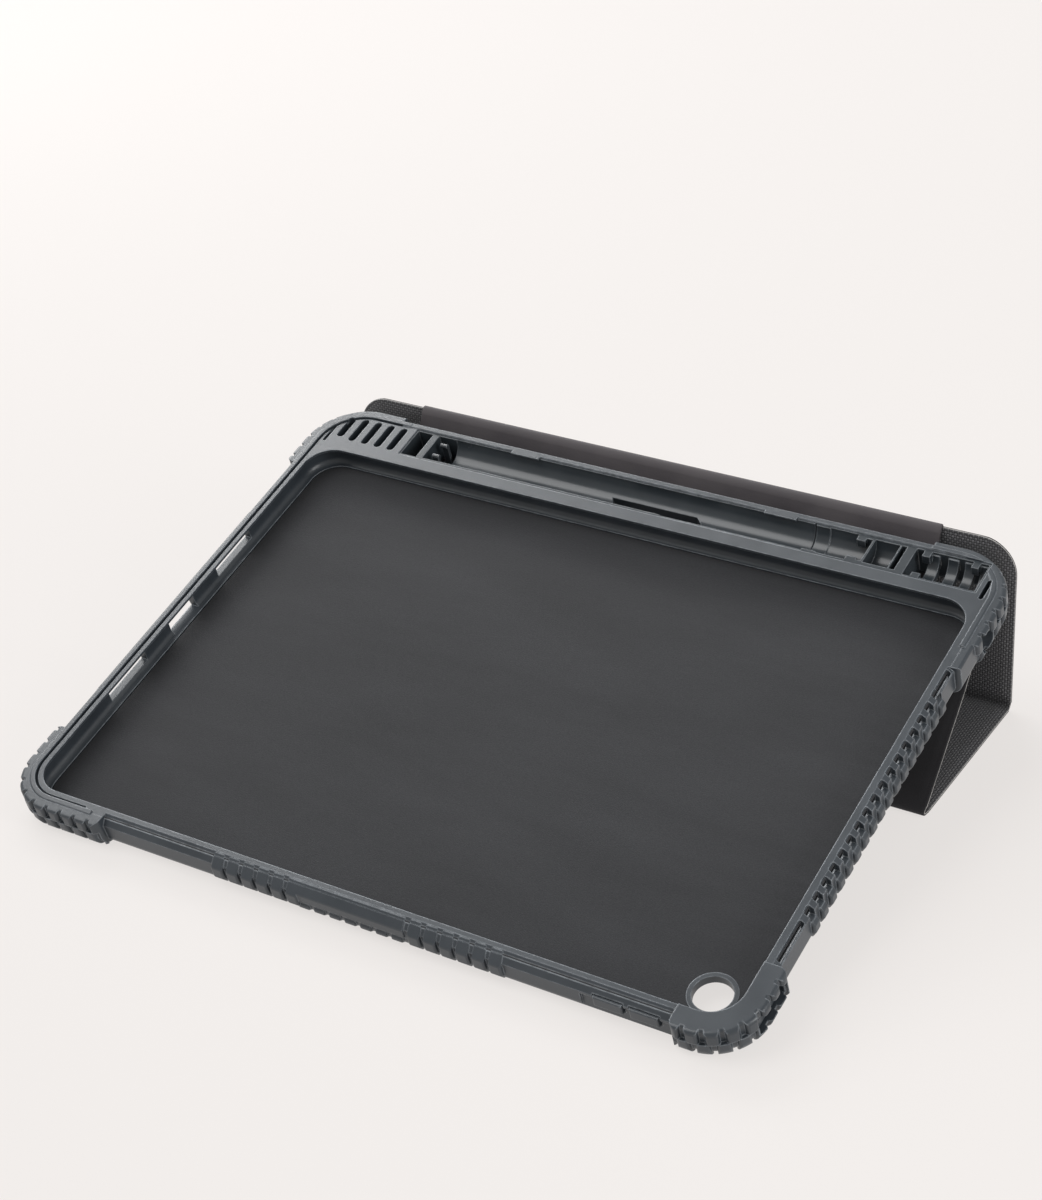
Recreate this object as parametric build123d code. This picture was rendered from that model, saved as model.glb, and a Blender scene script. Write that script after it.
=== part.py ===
from build123d import *
import os
from math import asin, atan2, cos, degrees, hypot, pi, radians, sin, tan

# Rugged folio case for a 10.2 inch tablet, standing open in its low writing position.
#
# The case is designed in its own frame: the origin is the middle of the tablet's glass, +X runs
# along the long edge, +Y towards the pen tray and +Z out of the glass.  The whole case is then
# tilted by TILT about X.  The cover's panels are laid out in a side view (y, z) of the tilted
# case, from the hinge behind the pen tray, down to the table, along it and back up to the case.
# Everything is last moved so that the origin is the bottom centre of the whole object.

os.makedirs("parts", exist_ok=True)

# ---------------------------------------------------------------- driving dimensions, mm
TILT = 15.0                     # writing angle of the glass above the table, degrees
TABLE = -32.64                  # height of the table under the middle of the glass
ORIGIN_Y = 11.505               # the bottom centre lies this far behind the middle of the glass

# tablet that the bay is made for, with the fit round it
TABLET_X, TABLET_Y, TABLET_Z = 250.6, 174.1, 7.5
TABLET_R = 12.0                 # radius of its corners in plan
TABLET_EDGE_R = 2.6             # roundness of its lower edge
FIT = 0.2

# levels of the case, from the glass up and down
Z_LIP = 0.9                     # top of the inner lip
Z_RIM = 1.4                     # top of the raised outer rim and the bumpers
Z_FLOOR = -(TABLET_Z + FIT)     # what the tablet rests on
LINING_T = 0.4
PLATE_T = 1.6
Z_PLATE = Z_FLOOR - LINING_T - PLATE_T
Z_BACK = -10.5                  # lowest face of the frame

# outline of the frame
HALF_X = 127.2
Y_NEAR, Y_FAR = -89.0, 104.5
R_NEAR, R_FAR = 14.0, 17.0
LIP_X, LIP_NEAR, LIP_FAR = 123.0, -84.5, 84.0
LIP_R = 10.0
RIM_W = 1.9                     # width of the raised outer rim
RIB_PROUD = 1.3                 # how far the grip ribs stand out of the wall
BAND_PROUD = 2.1                # how far the corner bumpers' bands stand out of the wall
BUMPER_PROUD = 3.4              # how far the bumpers' lobes stand out of the wall
THUMB_R = 3.0                   # rounding of a bumper's two ends
Z_STAGGER = -3.4                # level where the two rows of lobes meet
LOBE_W = 4.1
FAR_LOBE_SHIFT = 0.7            # the far corners' lobes sit this far round from the diagonal
PITCH = 5.5                     # spacing of all ribs and lobes
NEAR_RIBS_X, NEAR_RIBS = (-47.25, 23.25), 6     # first rib of each group, ribs in a group
RIGHT_RIBS_Y, RIGHT_RIBS = -42.0, 17

# pen tray
TRAY_X0, TRAY_X1 = -92.8, 120.9
TRAY_Y0, TRAY_Y1 = 88.9, 102.4
TRAY_TOP, TRAY_BOTTOM = 0.6, -8.8
PEN_Y, PEN_Z, PEN_R = 96.0, 0.2, 6.0
PEN_X0, PEN_X1 = -76.5, 79.0

# cut-outs for the tablet's parts
CAMERA_X, CAMERA_Y, CAMERA_R = 110.5, -72.5, 6.0
PORT_Z = -3.9                   # mid-height of ports and buttons on the tablet's edge

# cover
COVER_HALF = 124.7              # half the cover's width
COVER_R = 12.0                  # radius of its four corners
T_FABRIC, T_BOARD, T_LINING = 0.5, 1.0, 0.5
T_PANEL = T_FABRIC + T_BOARD + T_LINING
BOARD_INSET = 2.5               # the boards stop this far inside the panels' cut edges
SPINE_X0, SPINE_X1 = -97.0, 99.5
SPINE_T = 1.0
H1_CASE = (105.4, -9.6)         # spine hinge on the case (y, z), case frame
H2_WORLD = (108.7, 30.8)        # hinge between the spine and panel 1 (y, z), tilted view
P1_ANGLE = -88.5                # direction of each panel, degrees from +Y towards +Z
P2_ANGLE = -180.0
P3_ANGLE = -315.0
P4_ANGLE = TILT - 180.0
P1_GAP = 1.0                    # between the hinge line and panel 1's edge
FOLD_B_R, FOLD_C_R, FOLD_D_R = 1.8, 1.6, 4.5
FOLD_C_Y = 41.7                 # where the mid-lines of panels 2 and 3 meet
FLAP_GAP = 0.3                  # between the case's back and the end flap
P4_LENGTH = 17.5
CLOSED_GAP = 0.4                # between the closed cover and the rim

# buttons
BUTTON_GAP = 0.3
BUTTON_TRAVEL = 0.45


# ---------------------------------------------------------------- helpers
def plate(half_x, y0, y1, r_near, r_far, z0, z1):
    """Rounded plate between two levels, with its own corner radius at each end."""
    sheet = Pos(0, (y0 + y1) / 2) * Rectangle(2 * half_x, y1 - y0)
    sheet = fillet(sheet.vertices().group_by(Axis.Y)[0], r_near)
    sheet = fillet(sheet.vertices().group_by(Axis.Y)[-1], r_far)
    return extrude(Pos(0, 0, z0) * sheet, z1 - z0)


def outset(amount, z0, z1):
    """The frame's outline, moved outwards by an amount, between two levels."""
    return plate(HALF_X + amount, Y_NEAR - amount, Y_FAR + min(amount, 2.2),
                 R_NEAR + amount, R_FAR + amount, z0, z1)


def soften(body, top, bottom):
    """Round the top and bottom edges of a plate."""
    if top:
        body = fillet(body.faces().sort_by(Axis.Z)[-1].edges(), top)
    if bottom:
        body = fillet(body.faces().sort_by(Axis.Z)[0].edges(), bottom)
    return body


def block(x0, x1, y0, y1, z0, z1):
    """Box from its low and high limits."""
    return Pos((x0 + x1) / 2, (y0 + y1) / 2, (z0 + z1) / 2) * Box(x1 - x0, y1 - y0, z1 - z0)


def post(spot, width, depth, radius, z0, z1):
    """Upright bar with a rounded section; its depth runs along the spot's own X."""
    section = spot * RectangleRounded(depth, width, radius)
    return extrude(Pos(0, 0, z0) * section, z1 - z0)


def round_corner(side_x, side_y, amount, along):
    """Place on an outset corner, an arc length from its middle, with X pointing outwards."""
    far = side_y > 0
    radius = (R_FAR if far else R_NEAR) + amount
    reach = min(amount, 2.2) if far else amount
    cx = side_x * (HALF_X + amount - radius)
    cy = (Y_FAR + reach - radius) if far else (Y_NEAR - reach + radius)
    middle = atan2(side_y, side_x)
    half_arc = radius * pi / 4
    on_arc = max(-half_arc, min(half_arc, along))
    turn = middle + on_arc / radius
    beyond = along - on_arc
    x = cx + radius * cos(turn) - beyond * sin(turn)
    y = cy + radius * sin(turn) + beyond * cos(turn)
    return Pos(x, y) * Rot(0, 0, degrees(turn))


def tilted(body):
    """Case frame to the side view's frame, then to the origin at the bottom centre."""
    return Pos(0, -ORIGIN_Y, -TABLE) * Rot(TILT, 0, 0) * body


def settled(body):
    """Side view's frame to the origin at the bottom centre."""
    return Pos(0, -ORIGIN_Y, -TABLE) * body


def save(body, name):
    """Write one sub-part."""
    export_step(body, f"parts/{name}.step")


# ---------------------------------------------------------------- bumper frame
def rounded_block(x0, x1, y0, y1, radius):
    """Tall block with rounded upright edges, that a bumper is cut out with."""
    section = Pos((x0 + x1) / 2, (y0 + y1) / 2) * RectangleRounded(x1 - x0, y1 - y0, radius)
    return extrude(Pos(0, 0, Z_BACK - 1) * section, Z_RIM - Z_BACK + 2)


def bumper(side_x, side_y, end_x, end_y, top):
    """One thick corner: a rounded band, with two staggered rows of lobes standing out of it."""
    edge_x = side_x * (HALF_X + BUMPER_PROUD + 0.05)
    edge_y = Y_FAR + 8 if side_y > 0 else Y_NEAR - BUMPER_PROUD - 0.05
    region = rounded_block(*sorted((edge_x, end_x)), *sorted((edge_y, end_y)), THUMB_R)
    low = Z_BACK + 0.4
    band = soften(outset(BAND_PROUD, low, top), 1.0, 4.2)
    envelope = soften(outset(BUMPER_PROUD, low, top), 1.5, 4.6)
    root = BAND_PROUD - 0.5
    first = FAR_LOBE_SHIFT if side_y > 0 else 0.0
    lobes = []
    for z0, z1, shift in ((Z_STAGGER, top + 1, 0.0), (low - 1, Z_STAGGER, 0.5)):
        for k in range(-6, 7):
            spot = round_corner(side_x, side_y, root, (k + shift) * PITCH + first)
            lobes.append(post(spot, LOBE_W, 2 * (BUMPER_PROUD - root), 1.3, z0, z1))
    pieces = [region & band] + [region & (envelope & lobe) for lobe in lobes]
    return Part() + [piece for piece in pieces if piece.volume > 0]


def corner_bumpers():
    """The four thick corners; only the near right one covers the top of the wall."""
    raised = [bumper(-1, -1, -91.5, -61.0, Z_RIM - 0.4), bumper(-1, 1, -100.0, 73.5, Z_RIM - 0.4),
              bumper(1, 1, 100.5, 57.0, Z_RIM - 0.4)]
    core = outset(-1.0, -0.5, Z_RIM + 1)
    return (Part() + raised) - core + bumper(1, -1, 107.5, -63.0, Z_RIM)


def wall_bar(width, outline, rounding):
    """Bar across a wall: its outline is in (outwards, up), and its ends are rounded."""
    section = make_face(Polyline(*outline, close=True))
    section = fillet(section.vertices().sort_by(Axis.X)[-2:], 1.2)
    bar = extrude(Rot(90, 0, 0) * section, width / 2, both=True)
    ends = bar.faces().group_by(Axis.Y)
    return fillet((ends[0] + ends[-1]).edges(), rounding)


def grip_ribs():
    """Pillow ribs and smooth bars on the near wall, and slim bulges on the right wall."""
    pillow = wall_bar(4.4, ((-5.0, 0.7), (-2.4, 0.7), (RIB_PROUD, -2.4), (RIB_PROUD, -6.4),
                            (0.0, -8.6), (-5.0, -8.6)), 0.8)
    smooth = wall_bar(40.5, ((-5.0, 0.7), (-2.3, 0.7), (0.7, -2.0), (0.7, -5.0), (0.0, -6.0),
                             (-5.0, -6.0)), 0.4)
    bulge = wall_bar(3.6, ((-4.0, -2.6), (0.4, -2.6), (RIB_PROUD, -4.0), (RIB_PROUD, -6.8),
                           (0.0, -9.0), (-4.0, -9.0)), 0.8)
    foot = wall_bar(3.8, ((-4.0, -5.6), (0.0, -5.6), (0.8, -6.6), (0.8, -7.8), (-0.6, -9.0),
                          (-4.0, -9.0)), 0.4)
    near = Pos(0, Y_NEAR) * Rot(0, 0, -90)
    bars = []
    for start in NEAR_RIBS_X:
        bars += [Pos(start + k * PITCH, 0) * near * pillow for k in range(NEAR_RIBS)]
    bars.append(Pos(-0.5, 0) * near * smooth)
    bars += [Pos(-16.5 + k * PITCH, 0) * near * foot for k in range(7)]
    bars += [Pos(HALF_X, RIGHT_RIBS_Y + k * PITCH) * bulge for k in range(RIGHT_RIBS)]
    return bars


def wall_bands():
    """Smooth thicker stretch of the left wall."""
    envelope = soften(outset(0.8, Z_BACK + 1.0, Z_LIP), 1.0, 4.2)
    return envelope & block(-140, -120, -43, 46, Z_BACK, Z_RIM)


def raised_rim():
    """Raised edge along the left wall and round the corners that have one."""
    ring = soften(outset(0, 0, Z_RIM), 0.7, 0) - outset(-RIM_W, -1, Z_RIM + 1)
    left = block(-140, -96, -100, 110, -1, 2)
    right = block(100.5, 140, 66, 110, -1, 2)
    rail = block(-100, 100.5, 100, 110, -1, 1.2)
    return ring & (left + right + rail)


def rim_groove():
    """Narrow groove just inside the raised edge, along the left wall and round its corners."""
    ring = outset(-RIM_W, 0.0, 3) - outset(-RIM_W - 0.8, -1, 4)
    return ring & block(-140, -99, -100, 110, -1, 4)


def end_grid():
    """Round-ended slots beside the pen tray and a thin slot in each far corner."""
    cuts = []
    slot_centre, slot_length = 95.3, 11.7
    for k in range(5):
        spot = Pos(-118.7 + k * 5.37, slot_centre) * Rot(0, 0, 90)
        length = slot_length - (1.8 if k == 0 else 0)
        cuts.append(extrude(Pos(0, 0, Z_BACK - 1) * spot * SlotOverall(length, 2.8), 14))
    for x, width in ((-123.0, 1.2), (123.2, 1.5)):
        spot = Pos(x, 91.0) * Rot(0, 0, 90)
        cuts.append(extrude(Pos(0, 0, Z_BACK - 1) * spot * SlotOverall(8.5, width), 14))
    return cuts


def sloped_walls():
    """What is cut off the top outer edges of the near and right walls to slope them."""
    profile = make_face(Polyline((-2.8, 3), (-2.8, Z_LIP), (0.0, -2.1), (4, -2.1), (4, 3), close=True))
    near = Pos(8, Y_NEAR) * Rot(0, 0, -90) * extrude(Rot(90, 0, 0) * profile, 99.5, both=True)
    slim = make_face(Polyline((-1.9, 3), (-1.9, Z_LIP), (0.0, -0.6), (4, -0.6), (4, 3), close=True))
    right = Pos(HALF_X, -3) * extrude(Rot(90, 0, 0) * slim, 60, both=True)
    return [near, right]


def wall_pockets():
    """Square pockets between the slim ribs of the right wall, and the long one at each end."""
    cuts = []
    for k in range(RIGHT_RIBS):
        y = RIGHT_RIBS_Y + k * PITCH
        cuts.append(post(Pos(HALF_X - 0.9, y), 3.2, 2.2, 0.6, -2.6, 3))
    for y0, y1 in ((-61.0, -46.0), (47.5, 56.0)):
        cuts.append(post(Pos(HALF_X - 1.1, (y0 + y1) / 2), y1 - y0, 1.5, 0.5, -2.6, 3))
    return cuts


# each button: wall it sits in, centre along the wall, half length, half height
POWER = ("right", -73.0, 6.6, 1.8)
VOLUME = (("near", 87.0, 4.6, 1.9), ("near", 98.5, 4.6, 1.9))


def button_window(wall, centre, half_length, half_height):
    """Opening for a button, larger than it by the gap all round."""
    a, b = half_length + BUTTON_GAP, half_height + BUTTON_GAP
    if wall == "right":
        mouth = post(Pos(HALF_X + 2.4, centre), 2 * a + 1.6, 5.6, 1.2, PORT_Z - b - 0.5, PORT_Z + b + 0.6)
        return mouth + block(122, 136, centre - a, centre + a, PORT_Z - b, PORT_Z + b)
    return block(centre - a, centre + a, -96, -84, PORT_Z - b, PORT_Z + b)


def side_cutouts():
    """Openings in the walls for the ports, the speakers, the jack and the buttons."""
    cuts = [post(Pos(-127, 0), 14, 12, 2.4, PORT_Z - 3.4, PORT_Z + 3.2)]
    for y in (-31.0, 31.0):
        cuts.append(post(Pos(-127, y), 20, 12, 2.4, PORT_Z - 2.2, PORT_Z + 1.8))
    upright = (Align.CENTER, Align.CENTER, Align.MIN)
    cuts.append(Pos(124, 75, PORT_Z) * Rot(0, 90, 0) * Cylinder(3.9, 16, align=upright))
    cuts.append(button_window(*POWER))
    for pad in VOLUME:
        cuts.append(button_window(*pad))
    cuts.append(block(78, 107.4, -95, Y_NEAR + 0.7, Z_BACK - 1, -3.0))
    return cuts


def bumper_frame():
    """The soft frame: walls, lip, corner bumpers, grip ribs, far rail and end grid."""
    shell = soften(outset(0, Z_BACK, Z_LIP), 0.8, 3.6) + wall_bands() - sloped_walls()
    body = shell + raised_rim() - rim_groove() + grip_ribs() - wall_pockets() + corner_bumpers()

    half_x, half_y = TABLET_X / 2 + FIT, TABLET_Y / 2 + FIT
    bay = plate(half_x, -half_y, half_y, TABLET_R, TABLET_R, Z_FLOOR, 0)
    bay = soften(bay, 0, TABLET_EDGE_R)
    view = plate(LIP_X, LIP_NEAR, LIP_FAR, LIP_R, LIP_R, -1, 5)
    seat = plate(123.0, -85.0, 85.0, 9.5, 9.5, Z_PLATE, Z_FLOOR + 1)
    back = plate(119.0, -81.0, 81.0, 6.0, 6.0, Z_BACK - 2, Z_PLATE + 1)
    tray = block(TRAY_X0, TRAY_X1, TRAY_Y0, TRAY_Y1, Z_BACK - 1, 5)
    body = body - bay - view - seat - back - tray - end_grid() - side_cutouts()

    # small tabs on the far rail that hold the pen down
    for x0, x1 in ((-54.0, -43.0), (42.5, 54.0)):
        body += block(x0, x1, TRAY_Y1 - 1.2, TRAY_Y1 + 0.5, TRAY_TOP, 1.2)
    return body


# ---------------------------------------------------------------- pen tray
def pen_tray():
    """Stiff trough that the pen lies in, with an open cradle at its right end."""
    body = block(TRAY_X0, TRAY_X1, TRAY_Y0, TRAY_Y1, TRAY_BOTTOM, TRAY_TOP)
    along_x = Rot(0, 90, 0)

    def trough(x0, x1, radius):
        bar = Cylinder(radius, x1 - x0, align=(Align.CENTER, Align.CENTER, Align.MIN))
        return Pos(x0, PEN_Y, PEN_Z) * along_x * bar

    body -= trough(PEN_X0, 61.0, PEN_R)
    body -= trough(60.6, 66.5, PEN_R - 0.4)
    body -= trough(66.0, PEN_X1, PEN_R)
    body -= trough(60.5, 61.1, PEN_R + 0.5)
    body -= trough(82.0, 90.5, PEN_R - 0.6)

    def window(x0, x1, y0, y1):
        return block(x0, x1, y0, y1, TRAY_BOTTOM - 1, TRAY_TOP + 1)

    openings = [(-92.2, -86.0, 89.6, 101.8), (-83.5, -76.5, 89.9, 101.8),
                (PEN_X1, 81.2, 91.0, 101.0), (91.0, 92.8, 90.6, 101.4), (96.0, 120.2, 89.6, 101.8)]
    for opening in openings:
        body -= window(*opening)

    # cut-out in the trough's floor, to push the pen out from below, with slanted ends
    push = Polyline((-13.5, 98.2), (-8.5, 90.2), (17.5, 90.2), (21.0, 92.6), (21.0, 96.2),
                    (18.6, 98.2), close=True)
    body -= extrude(Pos(0, 0, TRAY_BOTTOM - 1) * make_face(push), 9)
    # shallow step along the near ledge
    body -= block(10.0, 61.0, TRAY_Y0 + 0.5, PEN_Y - PEN_R + 0.6, TRAY_TOP - 0.35, 3)

    # open cradle: slices of trough with daylight between them
    for x0, x1 in ((100.0, 103.6), (106.5, 110.0), (112.2, 115.4), (117.4, 120.3)):
        ring = trough(x0, x1, PEN_R + 1.4) - trough(x0 - 1, x1 + 1, PEN_R - 0.6)
        lower = block(x0, x1, TRAY_Y0 + 0.2, TRAY_Y1 - 0.2, TRAY_BOTTOM, PEN_Z - 0.6)
        body += ring & lower
    # nubs that the pen snaps under
    nubs = ((76.0, 79.0, 99.6, 102.0), (76.0, 79.6, 89.6, 92.0), (98.6, 101.2, 99.2, 102.0),
            (115.0, 117.4, 99.2, 102.0), (98.6, 101.4, 89.4, 91.6))
    for x0, x1, y0, y1 in nubs:
        body += block(x0, x1, y0, y1, TRAY_TOP - 3.0, TRAY_TOP)
    return body


def pen_clip():
    """Sprung clip at the trough's left end: two fingers on a foot that hangs under the tray."""
    foot = block(-83.0, -77.2, 92.4, 99.6, TRAY_BOTTOM - 0.9, TRAY_BOTTOM)
    fingers = [block(-81.2, -78.6, y, y + 0.9, TRAY_BOTTOM, -0.4) for y in (92.4, 98.7)]
    tips = [Pos(-79.9, y, -0.6) * Rot(0, 90, 0) * Cylinder(0.8, 2.6) for y in (93.2, 98.8)]
    return foot + fingers + tips


# ---------------------------------------------------------------- plate and what it carries
LABEL = (-64.0, -47.0, 62.0, 34.0)              # centre x, centre y, length, width
LABEL_DEPTH = 0.9
MAGNET_R, MAGNET_T = 5.0, 1.0
DOCK_X = (-95.0, -57.0, -19.0, 19.0, 57.0, 95.0)
DOCK_Y = 57.75


def label_sheet(inset, z0, z1):
    """Rounded sheet in the name pocket on the back."""
    x, y, length, width = LABEL
    face = RectangleRounded(length - 2 * inset, width - 2 * inset, 3.0)
    return extrude(Pos(x, y, z0) * face, z1 - z0)


def back_plate():
    """Stiff plate under the tablet: camera hole, name pocket and pockets for the magnets."""
    body = plate(122.9, -84.9, 84.9, 9.4, 9.4, Z_PLATE, Z_PLATE + PLATE_T)
    body -= Pos(CAMERA_X, CAMERA_Y, Z_PLATE) * Cylinder(CAMERA_R + 1.5, 6)
    body -= label_sheet(0, Z_PLATE - 1, Z_PLATE + LABEL_DEPTH)
    for x in DOCK_X:
        body -= Pos(x, DOCK_Y, Z_PLATE + PLATE_T) * Cylinder(MAGNET_R, 2 * MAGNET_T)
    return body


def dock_magnets():
    """Discs in the plate that hold the cover's end flap."""
    z = Z_PLATE + PLATE_T - MAGNET_T / 2
    return Part() + [Pos(x, DOCK_Y, z) * Cylinder(MAGNET_R, MAGNET_T) for x in DOCK_X]


def inner_lining():
    """Soft sheet on the plate that the tablet lies on."""
    body = plate(122.4, -84.4, 84.4, 9.0, 9.0, Z_FLOOR - LINING_T, Z_FLOOR)
    return body - Pos(CAMERA_X, CAMERA_Y, Z_FLOOR) * Cylinder(CAMERA_R + 1.5, 6)


def camera_ring():
    """Soft collar round the camera hole."""
    z0, z1 = Z_BACK + 0.1, Z_FLOOR
    ring = Cylinder(CAMERA_R + 1.5, z1 - z0) - Cylinder(CAMERA_R, z1 - z0 + 2)
    flange = Cylinder(CAMERA_R + 2.2, Z_PLATE - z0) - Cylinder(CAMERA_R, 8)
    body = Pos(0, 0, (z0 + z1) / 2) * ring + Pos(0, 0, (z0 + Z_PLATE) / 2) * flange
    return Pos(CAMERA_X, CAMERA_Y) * body


def name_card():
    """Paper card behind the window."""
    top = Z_PLATE + LABEL_DEPTH
    return label_sheet(1.0, top - 0.3, top)


def name_window():
    """Clear window over the card, flush with the plate's back."""
    top = Z_PLATE + LABEL_DEPTH
    return label_sheet(0.15, Z_PLATE, top - 0.3)


# ---------------------------------------------------------------- buttons
def button(wall, centre, half_length, half_height):
    """Pad that stands out of its window, with a nub behind it that reaches the tablet's button."""
    if wall == "right":
        inner, outer = TABLET_X / 2 + FIT + BUTTON_TRAVEL + 0.1, HALF_X + 1.2
        pad = block(inner, outer, centre - half_length, centre + half_length,
                    PORT_Z - half_height, PORT_Z + half_height)
        return fillet(pad.faces().sort_by(Axis.X)[-1].edges(), 0.6)
    inner, outer = -(TABLET_Y / 2 + FIT + BUTTON_TRAVEL + 0.1), Y_NEAR - 0.6
    pad = block(centre - half_length, centre + half_length, outer, inner,
                PORT_Z - half_height, PORT_Z + half_height)
    return fillet(pad.faces().sort_by(Axis.Y)[0].edges(), 0.5)


# ---------------------------------------------------------------- cover, in the side view
def step(point, angle, length):
    """Point at a distance in a direction."""
    return point[0] + length * cos(radians(angle)), point[1] + length * sin(radians(angle))


def meeting(p, angle_p, q, angle_q):
    """Where two lines in the side view cross."""
    ax, ay = cos(radians(angle_p)), sin(radians(angle_p))
    bx, by = cos(radians(angle_q)), sin(radians(angle_q))
    along = ((q[0] - p[0]) * by - (q[1] - p[1]) * bx) / (ax * by - ay * bx)
    return p[0] + along * ax, p[1] + along * ay


def fold(corner, angle_in, angle_out, radius):
    """Soft fold between two mid-lines: where it starts, where it ends, and its hinge point.

    The hinge point makes the two panels lie in line, an arc length apart, when they are flat.
    """
    turn = angle_out - angle_in
    half = radians(abs(turn)) / 2
    start = step(corner, angle_in, -radius * tan(half))
    end = step(corner, angle_out, radius * tan(half))
    advance = radius * half
    inward = (radius * sin(half) - advance * cos(half)) / sin(half)
    side = 90 if turn > 0 else -90
    hinge = step(step(start, angle_in, advance), angle_in + side, inward)
    return start, end, hinge


CT, ST = cos(radians(TILT)), sin(radians(TILT))
H1 = (H1_CASE[0] * CT - H1_CASE[1] * ST, H1_CASE[0] * ST + H1_CASE[1] * CT)
P1_MID = step(H2_WORLD, P1_ANGLE + 90, T_PANEL / 2)
TABLE_MID = (0.0, TABLE + T_PANEL / 2)
Z_FLAP = Z_BACK - FLAP_GAP - T_PANEL / 2
FLAP_MID = (-Z_FLAP * ST, Z_FLAP * CT)
C_CORNER = (FOLD_C_Y, TABLE_MID[1])
B_CORNER = meeting(P1_MID, P1_ANGLE, TABLE_MID, P2_ANGLE)
D_CORNER = meeting(C_CORNER, P3_ANGLE, FLAP_MID, P4_ANGLE)
B_START, B_END, B_HINGE = fold(B_CORNER, P1_ANGLE, P2_ANGLE, FOLD_B_R)
C_START, C_END, C_HINGE = fold(C_CORNER, P2_ANGLE, P3_ANGLE, FOLD_C_R)
D_START, D_END, D_HINGE = fold(D_CORNER, P3_ANGLE, P4_ANGLE, FOLD_D_R)


def distance(p, q):
    """Distance between two points of the side view."""
    return hypot(q[0] - p[0], q[1] - p[1])


def panel_layer(start, angle, length, low, high, inset, first_r, last_r):
    """One layer of a panel, between two heights above its mid-plane on the fabric's side."""
    face = Plane(origin=(0, *start), x_dir=(1, 0, 0),
                 z_dir=(0, cos(radians(angle - 90)), sin(radians(angle - 90))))
    sheet = Pos(0, -length / 2) * Rectangle(2 * (COVER_HALF - inset), length - 2 * inset)
    if first_r:
        sheet = fillet(sheet.vertices().group_by(Axis.Y)[-1], first_r - inset)
    if last_r:
        sheet = fillet(sheet.vertices().group_by(Axis.Y)[0], last_r - inset)
    return extrude(face * Pos(0, 0, low) * sheet, high - low, dir=face.z_dir)


def panel(name, start, angle, length, first_r=0.0, last_r=0.0):
    """Board, woven face and lining of one panel."""
    half = T_PANEL / 2
    shape = (first_r, last_r)
    board = panel_layer(start, angle, length, -half + T_LINING, half - T_FABRIC, BOARD_INSET, *shape)
    woven = panel_layer(start, angle, length, -half + T_LINING, half, 0, *shape) - board
    lining = panel_layer(start, angle, length, -half, -half + T_LINING, 0, *shape)
    return {f"{name}_board": board, f"{name}_fabric": woven, f"{name}_lining": lining}


def bars_in(board, start, angle, spots, length, width, thickness):
    """Flat magnets let into a board."""
    face = Plane(origin=(0, *start), x_dir=(1, 0, 0),
                 z_dir=(0, cos(radians(angle - 90)), sin(radians(angle - 90))))
    found = [face * Pos(x, -along, 0) * Box(length, width, thickness) for x, along in spots]
    bars = Part() + found
    return board - bars, bars


def spine():
    """The strip that joins the case to the cover: a stiffener between two skins."""
    angle = degrees(atan2(H2_WORLD[1] - H1[1], H2_WORLD[0] - H1[0]))
    first, last = 1.0, 2.6
    length = distance(H1, H2_WORLD) - first - last
    start = step(H1, angle, first)
    face = Plane(origin=(0, *start), x_dir=(1, 0, 0),
                 z_dir=(0, cos(radians(angle - 90)), sin(radians(angle - 90))))
    middle = (SPINE_X0 + SPINE_X1) / 2
    width = SPINE_X1 - SPINE_X0

    def layer(low, high, inset):
        sheet = Pos(middle, -length / 2, low) * Rectangle(width - 2 * inset, length - 2 * inset)
        return extrude(face * sheet, high - low, dir=face.z_dir)

    stiffener = layer(-0.2, 0.2, 1.2)
    outer = layer(-0.2, SPINE_T / 2, 0) - stiffener
    inner = layer(-SPINE_T / 2, -0.2, 0)
    return {"spine_stiffener": stiffener, "spine_outer_skin": outer, "spine_inner_skin": inner}


def spine_anchor():
    """The strip's glued foot under the case's far edge, in the case frame."""
    return block(SPINE_X0, SPINE_X1, 89.0, 103.6, Z_BACK - 0.7, Z_BACK)


# ---------------------------------------------------------------- build and write
def build():
    """All sub-parts by name."""
    case = {
        "bumper_frame": bumper_frame(),
        "pen_tray": pen_tray(),
        "pen_clip": pen_clip(),
        "back_plate": back_plate(),
        "inner_lining": inner_lining(),
        "camera_ring": camera_ring(),
        "dock_magnets": dock_magnets(),
        "name_card": name_card(),
        "name_window": name_window(),
        "spine_anchor": spine_anchor(),
        "power_button": button(*POWER),
        "volume_down_button": button(*VOLUME[0]),
        "volume_up_button": button(*VOLUME[1]),
    }
    p1_start = step(P1_MID, P1_ANGLE, P1_GAP)
    cover = spine()
    cover.update(panel("panel_1", p1_start, P1_ANGLE, distance(p1_start, B_START), first_r=COVER_R))
    cover.update(panel("panel_2", B_END, P2_ANGLE, distance(B_END, C_START)))
    cover.update(panel("panel_3", C_END, P3_ANGLE, distance(C_END, D_START)))
    cover.update(panel("flap", D_END, P4_ANGLE, P4_LENGTH, last_r=COVER_R))
    flap_spots = [(x, P4_LENGTH / 2) for x in DOCK_X]
    cover["flap_board"], cover["flap_magnets"] = bars_in(
        cover["flap_board"], D_END, P4_ANGLE, flap_spots, 16, 8, 0.8)
    sleep_spots = [(COVER_HALF - 9, 12.0), (COVER_HALF - 9, 24.0)]
    cover["panel_2_board"], cover["sleep_magnets"] = bars_in(
        cover["panel_2_board"], B_END, P2_ANGLE, sleep_spots, 8, 8, 0.8)

    parts = {name: tilted(body) for name, body in case.items()}
    parts.update({name: settled(body) for name, body in cover.items()})
    return parts


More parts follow.
